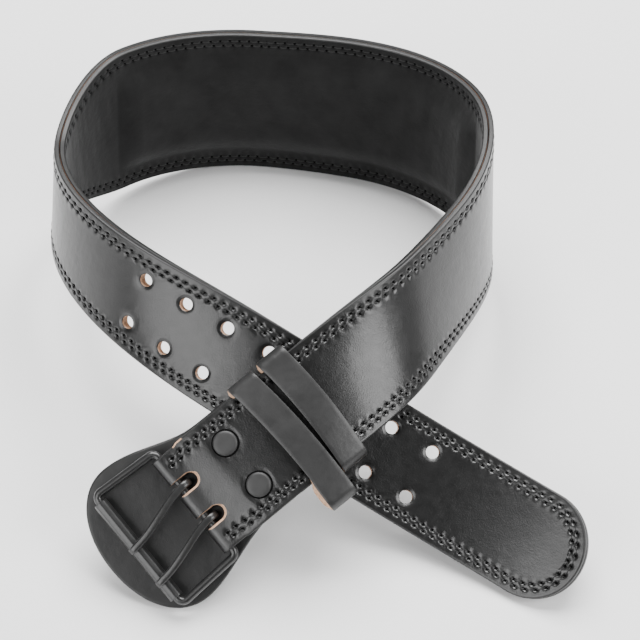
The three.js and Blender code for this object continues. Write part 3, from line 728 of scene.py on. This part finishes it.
def stitches(name, columns, visible, hidden, last_s, material, relief):
    sign = 1 if visible > hidden else -1
    rings, sides = 7, 6
    t = np.linspace(THREAD["from"], THREAD["to"], rings)
    bow = np.sin(np.linspace(0.06, 0.94, rings) * math.pi) ** 0.6
    angle = np.linspace(0, 2 * math.pi, sides + 1)[:-1]
    points, quads = [], []
    count = 0
    last = np.interp(last_s, columns.s, np.arange(len(columns.s)))
    for row in STITCH_ROWS:
        for side in (-1, 1):
            start = row["shift"]
            while start + PER_STITCH < last:
                number = start + PER_STITCH * t
                s, half, out_s, out_w = columns.at(number)
                inset = row["inset"]
                centre_s = s - out_s * inset
                centre_w = side * (half - out_w * inset)
                radius = THREAD["radius"] * (0.55 + 0.45 * bow)
                height = visible + sign * (relief(centre_s, centre_w) + THREAD["rise"] * bow - THREAD["sunk"])
                ring = np.zeros((rings, sides, 3))
                ring[..., 0] = centre_s[:, None] + out_s[:, None] * radius[:, None] * np.cos(angle)
                ring[..., 1] = centre_w[:, None] + side * out_w[:, None] * radius[:, None] * np.cos(angle)
                ring[..., 2] = height[:, None] + sign * radius[:, None] * np.sin(angle)
                points.append(ring.reshape(-1, 3))
                index = count + np.arange(rings * sides).reshape(rings, sides)
                index = np.concatenate([index, index[:, :1]], 1)
                around = np.stack([index[:-1, :-1], index[:-1, 1:], index[1:, 1:], index[1:, :-1]], -1)
                quads.append(around.reshape(-1, 4))
                quads.append([index[0, :4].tolist(), [index[0, 3], index[0, 4], index[0, 5], index[0, 0]]])
                quads.append([index[-1, :4].tolist(), [index[-1, 3], index[-1, 4], index[-1, 5], index[-1, 0]]])
                count += rings * sides
                start += PER_STITCH
    mesh = bpy.data.meshes.new(name)
    mesh.from_pydata(to_frame(np.concatenate(points)).tolist(), [], np.concatenate(quads).tolist())
    mesh.materials.append(material)
    return finished(name, mesh, 60)


# Guard flap

FLAP_EDGE = 1.5


def flap_outline():
    shoulder = FLAP_END - FLAP_ROUND_LENGTH
    wide = FLAP_WIDTH / 2
    neck = FLAP_NECK_WIDTH / 2
    angle = np.linspace(0, math.pi / 2, 49)
    power = 2 / FLAP_FULLNESS
    round_s = shoulder + FLAP_ROUND_LENGTH * np.cos(angle) ** power
    round_w = wide * np.sin(angle) ** power
    run = evenly(shoulder, FLAP_START, 2)[1:]
    run_w = neck + (wide - neck) * smoothstep(run, BAR_S - FLAP_FLARE_SETBACK, shoulder)
    s = np.concatenate([round_s, run])
    w = np.concatenate([round_w, run_w])
    tangent_s, tangent_w = np.gradient(s), np.gradient(w)
    tangent_s[0], tangent_w[0] = 0, 1
    length = np.hypot(tangent_s, tangent_w)
    return Columns(s, w, tangent_w / length, -tangent_s / length)


def flap_top(s):
    dip = smoothstep(s, RIVET_S + RIVET_HEAD_RADIUS + PLY_GAP, BAR_S - TAIL_RISE)
    return FLAP_TOP_AT_TAIL + (FLAP_TOP_AT_BUCKLE - FLAP_TOP_AT_TAIL) * dip


def guard_flap(materials):
    columns = flap_outline()
    shape = Shape()
    angle = np.linspace(0, math.pi, 9)
    half = FLAP_LEATHER / 2
    insets = FLAP_EDGE * (1 - np.sin(angle))
    depths = half * (1 - np.cos(angle))
    shares = np.linspace(-1, 1, 25)[None, :]

    def rows(side, inset, depth):
        s = columns.s[:, None] - columns.out_s[:, None] * inset
        w = side * (columns.half[:, None] - columns.out_w[:, None] * inset) - FLAP_SIDE_SHIFT
        return np.stack(np.broadcast_arrays(s, w, flap_top(s) - depth), -1)

    for side in (-1, 1):
        shape.grid(rows(side, insets[None, :], depths[None, :]), LEATHER)
    for depth in (0, FLAP_LEATHER):
        s = np.broadcast_to((columns.s - columns.out_s * FLAP_EDGE)[:, None], (len(columns.s), shares.shape[1]))
        w = (columns.half - columns.out_w * FLAP_EDGE)[:, None] * shares - FLAP_SIDE_SHIFT
        shape.grid(np.stack([s, w, flap_top(s) - depth], -1))
    end = [rows(side, insets[None, :], depths[None, :])[-1] for side in (-1, 1)]
    bar = np.linspace(end[0], end[1], 3)
    shape.grid(bar, RAW)
    return shape.make("guard_flap_leather", materials)


# Keepers


def keeper_outline(slack, grow, steps=7):
    half = BUCKLE_STRAP_WIDTH / 2
    upper = -half - slack["upper"] - grow
    lower = half + slack["lower"] + grow
    top = TOP + KEEPER_PLAY + grow
    bottom = -TOP - KEEPER_PLAY - grow
    radius = min(KEEPER_CORNER + grow, (top - bottom) / 2)
    corners = [(lower - radius, top - radius), (upper + radius, top - radius),
        (upper + radius, bottom + radius), (lower - radius, bottom + radius)]
    outline = []
    for quarter, (w, h) in enumerate(corners):
        for angle in np.linspace(quarter, quarter + 1, steps) * math.pi / 2:
            outline.append((w + radius * math.cos(angle), h + radius * math.sin(angle)))
        if quarter in (0, 2):
            ahead = corners[(quarter + 1) % 4]
            for share in np.linspace(0, 1, 30)[1:-1]:
                rise = slack["crown"] * math.sin(share * math.pi) if quarter == 0 else 0
                edge = radius if quarter == 0 else -radius
                outline.append((w + (ahead[0] - w) * share, h + edge + rise))
    return np.array(outline)


CUT_SIDE = 10


def keeper(name, start, slack, flares, materials):
    """flares are places across the strap where the loop's bend turns its cut side out towards the buckle."""
    outer = keeper_outline(slack, KEEPER_LEATHER)
    inner = keeper_outline(slack, 0)
    soft = 0.5
    section = [(s, 1.0) for s in np.linspace(soft, KEEPER_WIDTH - soft, 9)]
    section += [(KEEPER_WIDTH - 0.15, 0.95), (KEEPER_WIDTH, 0.82), (KEEPER_WIDTH, 0.12), (KEEPER_WIDTH - soft, 0.0)]
    inside = [(s, 0.0) for s in np.linspace(KEEPER_WIDTH - soft, soft, 5)[1:]]
    section += inside + [(0.0, 0.12), (0.0, 0.82), (0.15, 0.95)]
    flared = np.zeros(len(outer))
    for flare in flares:
        away = (outer[:, 0] - flare["w"]) / np.where(outer[:, 0] < flare["w"], flare["before"], flare["after"])
        flared += flare["out"] * np.exp(-away ** 4) * smoothstep(outer[:, 1], -3, 2)
    shape = Shape()
    loops = []
    for s, share in section:
        flat = inner + (outer - inner) * share
        bowed = slack["bow"] * ((flat[:, 0] - slack["bow_at"]) / (BUCKLE_STRAP_WIDTH / 2)) ** 2
        turned_out = flared * (1 - share) * smoothstep(s, 0, KEEPER_WIDTH)
        loops.append(np.column_stack([start + s + bowed + turned_out, flat]))
    rings = np.array(loops + loops[:1])
    for k, (_, share) in enumerate(section):
        if share + section[(k + 1) % len(section)][1] == 0:
            finish = RAW
        elif k == CUT_SIDE:
            finish = np.where(flared > 0.25, RAW, EDGE)
        else:
            finish = LEATHER
        shape.grid(rings[k:k + 2], finish, loop=True)
    return shape.make(name, materials)


# Buckle metal, in the bar's frame

BAR_FRAME = frame_on_strap(BAR_S, 0, BAR_H)


def from_bar(points):
    matrix = np.array(BAR_FRAME)
    return np.asarray(points, float) * MM @ matrix[:3, :3].T + matrix[:3, 3]


def swept(points, widths, heights, sides, closed=False, side_axis=(0, 1, 0), power=1.0):
    """Rings of an oval section along points. widths run along side_axis, heights out of it, and a power
    under 1 makes the section squarer."""
    points = np.array(points, float)
    if closed:
        forward = np.roll(points, -1, 0) - np.roll(points, 1, 0)
    else:
        forward = np.gradient(points, axis=0)
    forward = unit(forward)
    side = np.array(side_axis, float) - forward * (forward @ np.array(side_axis, float))[:, None]
    side = unit(side)
    up = np.cross(side, forward)
    angle = (np.arange(sides) + 0.5) / sides * 2 * math.pi
    widths = np.broadcast_to(widths, len(points))
    heights = np.broadcast_to(heights, len(points))
    sideways = np.sign(np.cos(angle)) * np.abs(np.cos(angle)) ** power
    upwards = np.sign(np.sin(angle)) * np.abs(np.sin(angle)) ** power
    return (points[:, None] + side[:, None] * (widths[:, None] * sideways)[..., None]
        + up[:, None] * (heights[:, None] * upwards)[..., None])


def fan_cap(shape, ring):
    """Closes a ring with rings that shrink to its middle."""
    middle = ring.mean(0)
    shape.grid(np.stack([ring, middle + (ring - middle) * 0.6, np.broadcast_to(middle, ring.shape)]), loop=True)


def buckle_frame(materials):
    points = []
    outer_half = FRAME_OUTER_HALF - FRAME_CORNER
    inner_half = FRAME_HALF - FRAME_CORNER
    corners = [(FRAME_REACH - FRAME_CORNER, outer_half), (FRAME_CORNER, inner_half),
        (FRAME_CORNER, -inner_half), (FRAME_REACH - FRAME_CORNER, -outer_half)]
    for quarter, (x, y) in enumerate(corners):
        for angle in np.linspace(quarter, quarter + 1, 13) * math.pi / 2:
            points.append((x + FRAME_CORNER * math.cos(angle), y + FRAME_CORNER * math.sin(angle), 0))
    shape = Shape()
    rings = swept(points, FRAME_WIRE, FRAME_WIRE, 24, closed=True, side_axis=(0, 0, 1))
    shape.grid(np.concatenate([rings, rings[:1]]), loop=True)
    return shape.make("buckle_wire_frame", materials, from_bar, 60)


def roller(materials):
    """A tube of rolled sheet: its section has long flats, and its seam stays a little open."""
    half = FRAME_OUTER_HALF - FRAME_CORNER - ROLLER_END_PLAY
    seam = math.radians(7)
    flats = 9
    angle = np.linspace(seam, 2 * math.pi - seam, 6 * flats + 1)
    facet = 2 * math.pi / flats
    flat_radius = ROLLER_RADIUS * math.cos(facet / 2) / np.cos((angle % facet) - facet / 2)
    outer = 0.75 * flat_radius + 0.25 * ROLLER_RADIUS
    shape = Shape()
    lengths = np.concatenate([[-half, -half + 0.25], np.linspace(-half + 1, half - 1, 21), [half - 0.25, half]])
    trims = np.concatenate([[0.3, 0.05], np.zeros(21), [0.05, 0.3]])
    start = math.radians(250)

    def ring(radius, y):
        turned = angle + start
        return np.column_stack([
            FRAME_REACH + radius * np.cos(turned), np.full(len(angle), y), radius * np.sin(turned)])

    outside = np.stack([ring(outer - trim, y) for y, trim in zip(lengths, trims)])
    inside = np.stack([ring(np.full(len(angle), ROLLER_BORE), y) for y in lengths])
    shape.grid(outside)
    shape.grid(inside)
    for end in (0, -1):
        shape.grid(np.stack([outside[end], inside[end]]))
    for end in (0, -1):
        shape.grid(np.stack([outside[:, end], inside[:, end]]))
    return shape.make("roller_tube", materials, from_bar, 35)


PRONG_WIDE = 2.2
PRONG_FLAT = 1.6


def prong(name, y0, materials):
    """A flattened wire with a chisel tip: an open eye round the bar, then the arch over the roller."""
    eye = FRAME_WIRE + BAR_PLAY + PRONG_WIRE
    rest = ROLLER_RADIUS + BAR_PLAY + PRONG_WIRE
    points = []
    for angle in np.radians(np.linspace(PRONG_EYE_SWEEP[0], PRONG_EYE_SWEEP[1] + 6, 40)):
        points.append((eye * math.cos(angle), y0, eye * math.sin(angle)))
    for share in np.linspace(0.03, 1, 40):
        height = eye + (rest - eye) * share + PRONG_ARCH * math.sin(share * math.pi)
        skewed = (share + float(smoothstep(share, *PRONG_BEND))) / 2
        points.append((share * FRAME_REACH, y0 + skewed * PRONG_SKEW, height))
    tip_shares = np.array([0.3, 0.6, 0.8, 1.0])
    for share in tip_shares:
        sideways = PRONG_SKEW * (1 + share * PRONG_OVERHANG / FRAME_REACH / 2)
        points.append((FRAME_REACH + share * PRONG_OVERHANG, y0 + sideways, rest - share * share))
    widths = np.full(len(points), PRONG_WIDE)
    heights = np.full(len(points), PRONG_FLAT)
    widths[-4:] = PRONG_WIDE * (1 - 0.1 * tip_shares)
    heights[-4:] = PRONG_FLAT * (1 - 0.5 * tip_shares ** 2)
    rings = swept(points, widths, heights, 24, power=0.72)
    shape = Shape()
    shape.grid(rings, loop=True)
    fan_cap(shape, rings[0])
    fan_cap(shape, rings[-1])
    return shape.make(name, materials, from_bar, 50)


RIVET_DOME = [
    {"out": 0.0, "up": 1.0}, {"out": 0.3, "up": 1.0}, {"out": 0.5, "up": 0.99}, {"out": 0.7, "up": 0.95},
    {"out": 0.84, "up": 0.86}, {"out": 0.93, "up": 0.7}, {"out": 0.98, "up": 0.48}, {"out": 1.0, "up": 0.25},
    {"out": 1.0, "up": -0.08}, {"out": 1.13, "up": -0.1}, {"out": 1.13, "up": -0.16}, {"out": 0.0, "up": -0.16},
]
# The ring at which the flat ring round the head's foot starts; that ring is painted shade, a near-black matte band
# where the groove's shade falls.
RIVET_SHADE_RING = 8


def rivet(name, w, materials):
    base = TOP + PLY_GAP
    under = FLAP_TOP_AT_TAIL - FLAP_LEATHER - PLY_GAP
    angle = np.linspace(0, 2 * math.pi, 49)[:-1]
    shape = Shape()
    for sign, bottom, radius in ((1, base, RIVET_HEAD_RADIUS), (-1, under, RIVET_HEAD_RADIUS * 0.8)):
        rings = np.array([np.column_stack([
            RIVET_S + row["out"] * radius * np.cos(angle),
            w + row["out"] * radius * np.sin(angle),
            np.full(len(angle), bottom + sign * row["up"] * RIVET_HEAD_HEIGHT),
        ]) for row in RIVET_DOME])
        # The dome takes the rivet's paint, and the flat ring round its foot the painted-shade finish.
        shape.grid(rings[:RIVET_SHADE_RING + 1], loop=True)
        shape.grid(rings[RIVET_SHADE_RING:], 1, loop=True)
    matrix = np.array(frame_on_strap(RIVET_S, 0, 0))

    def place(points):
        local = np.asarray(points, float) - (RIVET_S, 0, 0)
        return local * MM @ matrix[:3, :3].T + matrix[:3, 3]

    return shape.make(name, materials, place, 50)


# Materials


class Look:
    """A Principled material and the few nodes that its finish needs, in object space."""

    def __init__(self, name, roughness, **settings):
        self.material = bpy.data.materials.new(name)
        self.material.use_nodes = True
        self.tree = self.material.node_tree
        self.shader = self.tree.nodes["Principled BSDF"]
        self.shader.inputs["Roughness"].default_value = roughness
        for key, value in settings.items():
            self.shader.inputs[key.replace("_", " ")].default_value = value
        self.place = self.tree.nodes.new("ShaderNodeTexCoord").outputs["Object"]

    def node(self, kind, **inputs):
        node = self.tree.nodes.new(kind)
        for key, value in inputs.items():
            self.feed(node.inputs[key.replace("_", " ")], value)
        return node

    def feed(self, socket, value):
        if isinstance(value, bpy.types.NodeSocket):
            self.tree.links.new(value, socket)
        else:
            socket.default_value = value

    def noise(self, size, detail=4, roughness=0.55, stretch=None):
        """A noise whose grains are size millimetres across."""
        place = self.place
        if stretch:
            mapping = self.node("ShaderNodeMapping", Vector=place)
            mapping.inputs["Scale"].default_value = stretch
            place = mapping.outputs["Vector"]
        noise = self.node("ShaderNodeTexNoise", Vector=place, Scale=1 / (size * MM), Detail=detail,
            Roughness=roughness)
        return noise.outputs["Fac"]

    def cells(self, size):
        cells = self.node("ShaderNodeTexVoronoi", Vector=self.place, Scale=1 / (size * MM))
        return cells.outputs["Distance"]

    def ramp(self, value, stops):
        ramp = self.node("ShaderNodeValToRGB", Fac=value)
        elements = ramp.color_ramp.elements
        while len(elements) < len(stops):
            elements.new(0.5)
        for element, (position, color) in zip(elements, stops):
            element.position = position
            element.color = (*color, 1)
        return ramp.outputs["Color"]

    def span(self, value, low, high):
        mapped = self.node("ShaderNodeMapRange", Value=value, To_Min=low, To_Max=high)
        return mapped.outputs["Result"]

    def color(self, value):
        self.feed(self.shader.inputs["Base Color"], value)

    def rough(self, value):
        self.feed(self.shader.inputs["Roughness"], value)

    def bump(self, *layers):
        """layers are (height, depth in millimetres), laid one over the other."""
        normal = None
        for height, depth in layers:
            bump = self.node("ShaderNodeBump", Height=height, Distance=depth * MM, Strength=1.0)
            if normal:
                self.feed(bump.inputs["Normal"], normal)
            normal = bump.outputs["Normal"]
        self.feed(self.shader.inputs["Normal"], normal)


def grey(value):
    return (value, value, value)


def grain_leather(name, dark, light, roughness, grain, depth, coat=0.0):
    look = Look(name, roughness, Coat_Weight=coat, Coat_Roughness=0.18, Specular_IOR_Level=0.5)
    patches = look.noise(14, 3)
    look.color(look.ramp(patches, [(0.3, grey(dark)), (0.75, grey(light))]))
    look.rough(look.span(look.noise(5, 5), roughness - 0.07, roughness + 0.09))
    look.bump((look.noise(9, 2), 0.25), (look.cells(grain), depth), (look.noise(grain * 0.6, 3), depth * 0.6))
    return look.material


def suede_leather():
    look = Look("suede", 0.9, Sheen_Weight=0.12, Sheen_Roughness=0.5, Specular_IOR_Level=0.2)
    look.color(look.ramp(look.noise(18, 4), [(0.3, grey(0.004)), (0.75, grey(0.011))]))
    wrinkles = look.noise(24, 2, stretch=(1, 1, 0.14))
    look.bump((wrinkles, 2.2), (look.noise(6, 4), 0.4), (look.noise(0.6, 3), 0.12))
    return look.material


def raw_leather():
    look = Look("raw_leather", 0.85)
    look.color(look.ramp(look.noise(1.2, 5), [(0.25, (0.3, 0.17, 0.1)), (0.75, (0.66, 0.43, 0.29))]))
    look.bump((look.noise(0.5, 3), 0.12))
    return look.material


def edge_finish():
    look = Look("edge_finish", 0.45)
    look.color(look.ramp(look.noise(3, 4), [(0.3, grey(0.004)), (0.8, grey(0.012))]))
    look.bump((look.noise(2, 4), 0.15))
    return look.material


def painted_steel(name, dark, light, roughness, coat):
    look = Look(name, roughness, Coat_Weight=coat, Coat_Roughness=0.2)
    look.color(look.ramp(look.noise(6, 4), [(0.3, grey(dark)), (0.8, grey(light))]))
    look.rough(look.span(look.noise(1.5, 4), roughness - 0.08, roughness + 0.08))
    look.bump((look.noise(1.2, 3), 0.04))
    return look.material


def thread_finish():
    look = Look("thread", 0.6)
    look.color(look.ramp(look.noise(0.5, 2), [(0.3, grey(0.002)), (0.8, grey(0.007))]))
    look.bump((look.noise(0.35, 2), 0.06))
    return look.material


# Painted shade: near-black, matte and nearly without gloss, put in the needle-hole dimples and round each rivet
# head's foot, where shade falls.
def needle_shade_finish():
    look = Look("needle_hole_painted_shade", 0.95, Specular_IOR_Level=0.1)
    look.color(look.ramp(look.noise(0.6, 2), [(0.3, grey(0.001)), (0.8, grey(0.003))]))
    look.bump((look.noise(0.4, 2), 0.05))
    return look.material


OUTER_LOOK = grain_leather("outer_leather", 0.002, 0.005, 0.33, 0.9, 0.06, 0.3)
FLAP_LOOK = grain_leather("flap_leather", 0.003, 0.006, 0.46, 0.7, 0.03)
KEEPER_LOOK = grain_leather("keeper_leather", 0.014, 0.024, 0.38, 0.6, 0.02)
NEEDLE_SHADE_LOOK = needle_shade_finish()
SUEDE_LOOK = suede_leather()
RAW_LOOK = raw_leather()
EDGE_LOOK = edge_finish()
STEEL_LOOK = painted_steel("black_paint", 0.006, 0.014, 0.36, 0.25)
RIVET_LOOK = painted_steel("rivet_paint", 0.014, 0.024, 0.5, 0.0)
THREAD_LOOK = thread_finish()


# Assembly


def pad_height(s, w):
    from_end = np.minimum(s + PAD_ENDS["tongue"] * TONGUE_REACH, PAD_ENDS["buckle"] * BUCKLE_REACH - s)
    from_edge = BACK_WIDTH / 2 - PAD_MARGIN - np.abs(w)
    return PAD_RISE * np.sqrt(smoothstep(from_end, 0, PAD_EDGE)) * np.sqrt(smoothstep(from_edge, 0, PAD_EDGE))


def flat_face(s, w):
    return np.zeros(np.broadcast(s, w).shape)


LEATHER_LOOKS = [OUTER_LOOK, RAW_LOOK, EDGE_LOOK, NEEDLE_SHADE_LOOK]
LINING_LOOKS = [SUEDE_LOOK, RAW_LOOK, EDGE_LOOK, NEEDLE_SHADE_LOOK]
KEEPER_LOOKS = [KEEPER_LOOK, RAW_LOOK, EDGE_LOOK]
outer = ply("outer_leather_run", WHOLE_COLUMNS.up_to(SEAM_COLUMN), TOP, PLY_GAP / 2, flat_face, LEATHER_LOOKS)
dress(outer, "belt", "outer_leather", "outer_strap")
dress(fold_strip(LEATHER_LOOKS), "belt", "outer_leather", "outer_strap")
lining_columns = strap_columns(TAIL_S - PLY_GAP)
lining = ply("lining_suede_run", lining_columns, -TOP, -PLY_GAP / 2, pad_height, LINING_LOOKS)
dress(lining, "belt", "lining_suede", "lining_strap")
outer_thread = stitches("outer_stitches", WHOLE_COLUMNS, TOP, 0, STITCHES_END, THREAD_LOOK, pared_face)
dress(outer_thread, "belt", "outer_leather")
lining_thread = stitches("lining_stitches", lining_columns, -TOP, 0, TAIL_S - 4, THREAD_LOOK, pad_height)
dress(lining_thread, "belt", "lining_suede")
dress(guard_flap([FLAP_LOOK, EDGE_LOOK]), "belt", "flap_leather", "guard_flap")
UPPER_FLARE = {"w": -36.0, "before": 5.0, "after": 4.0, "out": 1.9}
LOWER_FLARE = {"w": 42.0, "before": 6.5, "after": 13.0, "out": 3.3}
front = keeper("keeper_front_loop", FRONT_KEEPER_S, FRONT_KEEPER, [UPPER_FLARE, LOWER_FLARE], KEEPER_LOOKS)
dress(front, "belt", "keeper_leather", "keeper_front")
rear = keeper("keeper_rear_loop", REAR_KEEPER_S, REAR_KEEPER, [UPPER_FLARE], KEEPER_LOOKS)
dress(rear, "belt", "keeper_leather", "keeper_rear")
for side, word in ((-1, "upper"), (1, "lower")):
    head = rivet(f"rivet_{word}_head", side * HOLE_ROWS_APART / 2, [RIVET_LOOK, NEEDLE_SHADE_LOOK])
    dress(head, "belt", "black_steel", f"rivet_{word}")
    dress(prong(f"prong_{word}_wire", side * PRONGS_APART / 2, [STEEL_LOOK]), f"prong_{word}", "black_steel",
        f"prong_{word}")
dress(buckle_frame([STEEL_LOOK]), "frame", "black_steel", "buckle_frame")
dress(roller([STEEL_LOOK]), "roller", "black_steel", "roller")


# Floor, lights and camera


def floor():
    look = Look("floor", 0.7)
    look.color(look.ramp(look.noise(400, 2), [(0.3, grey(0.86)), (0.7, grey(0.88))]))
    mesh = bpy.data.meshes.new("floor")
    reach = 6
    corners = [(-reach, -reach, 0), (reach, -reach, 0), (reach, reach, 0), (-reach, reach, 0)]
    mesh.from_pydata(corners, [], [(0, 1, 2, 3)])
    mesh.materials.append(look.material)
    plane = bpy.data.objects.new("floor", mesh)
    bpy.context.scene.collection.objects.link(plane)


def area_light(name, place, target, size, power):
    data = bpy.data.lights.new(name, "AREA")
    data.shape = "RECTANGLE"
    data.size, data.size_y = size
    data.energy = power
    light = bpy.data.objects.new(name, data)
    light.location = place
    light.rotation_euler = (Vector(target) - Vector(place)).to_track_quat("-Z", "Y").to_euler()
    bpy.context.scene.collection.objects.link(light)


# The camera, fitted to the photo: angles in degrees, the rest in metres
CAMERA = {"azimuth": 0.30, "elevation": 52.05, "roll": -0.24, "distance": 1.45,
    "target": (0.0072, -0.0077, 0.050), "pixels_per_metre": 1624}
PICTURE = 640


def camera():
    azimuth, elevation = math.radians(CAMERA["azimuth"]), math.radians(CAMERA["elevation"])
    forward = Vector((math.sin(azimuth) * math.cos(elevation), math.cos(azimuth) * math.cos(elevation),
        -math.sin(elevation)))
    data = bpy.data.cameras.new("camera")
    data.sensor_fit = "HORIZONTAL"
    data.sensor_width = 36
    data.lens = CAMERA["pixels_per_metre"] * CAMERA["distance"] / PICTURE * data.sensor_width
    data.clip_end = 50
    thing = bpy.data.objects.new("camera", data)
    thing.location = Vector(CAMERA["target"]) - forward * CAMERA["distance"]
    thing.rotation_euler = (forward.to_track_quat("-Z", "Y").to_matrix()
        @ Matrix.Rotation(math.radians(CAMERA["roll"]), 3, "Z")).to_euler()
    bpy.context.scene.collection.objects.link(thing)
    bpy.context.scene.camera = thing


def world():
    shade = bpy.data.worlds.new("studio")
    shade.use_nodes = True
    shade.node_tree.nodes["Background"].inputs["Color"].default_value = (1, 1, 1, 1)
    shade.node_tree.nodes["Background"].inputs["Strength"].default_value = 0.13
    bpy.context.scene.world = shade


# Large soft boxes low at both sides, where the glossy leather mirrors them, and one over the back
floor()
world()
area_light("left_box", (-0.98, -1.02, 0.8), (0, 0, 0.05), (1.15, 1.35), 25)
area_light("right_box", (1.17, -0.47, 0.98), (0, 0, 0.05), (0.9, 0.8), 20)
area_light("top_box", (0.1, 0.9, 1.7), (0, 0, 0), (1.8, 1.4), 110)
camera()
